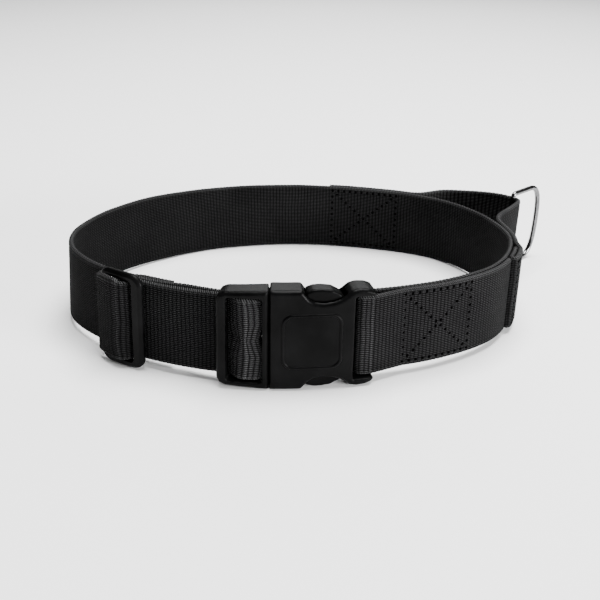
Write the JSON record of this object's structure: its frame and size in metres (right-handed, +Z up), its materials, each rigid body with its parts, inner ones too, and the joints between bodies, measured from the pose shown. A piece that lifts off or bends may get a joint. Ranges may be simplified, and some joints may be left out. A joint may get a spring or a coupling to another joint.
{
  "type": "dog collar",
  "caption": "Fastened nylon webbing dog collar with a side-release buckle, an adjusting slide, a sewn-on webbing handle and a swinging D-ring.",
  "frame": {"origin": "Under the middle of the whole collar's box, on the surface that the collar stands on.", "axes": "+Z is up, through the neck opening. +X points to the right along the front, where the buckle is. +Y points from the buckle at the front to the back, where the handle is sewn on."},
  "size_m": [0.2708, 0.1774, 0.049],
  "materials": {
    "webbing": "black woven nylon",
    "plastic": "black moulded plastic, semi-matte",
    "ring_metal": "polished steel"
  },
  "bodies": {
    "collar": {"main_strap": "webbing", "handle_strap": "webbing", "buckle_female": "plastic", "buckle_male": "plastic", "slide": "plastic"},
    "ring": {"d_ring": "ring_metal"}
  },
  "joints": [
    {"name": "ring_swing", "type": "hinge", "parent": "collar", "child": "ring", "pos_m": [0.11329, 0.05563, 0.024], "axis": [0, 0, 1], "range_deg": [-120, 65]}
  ]
}
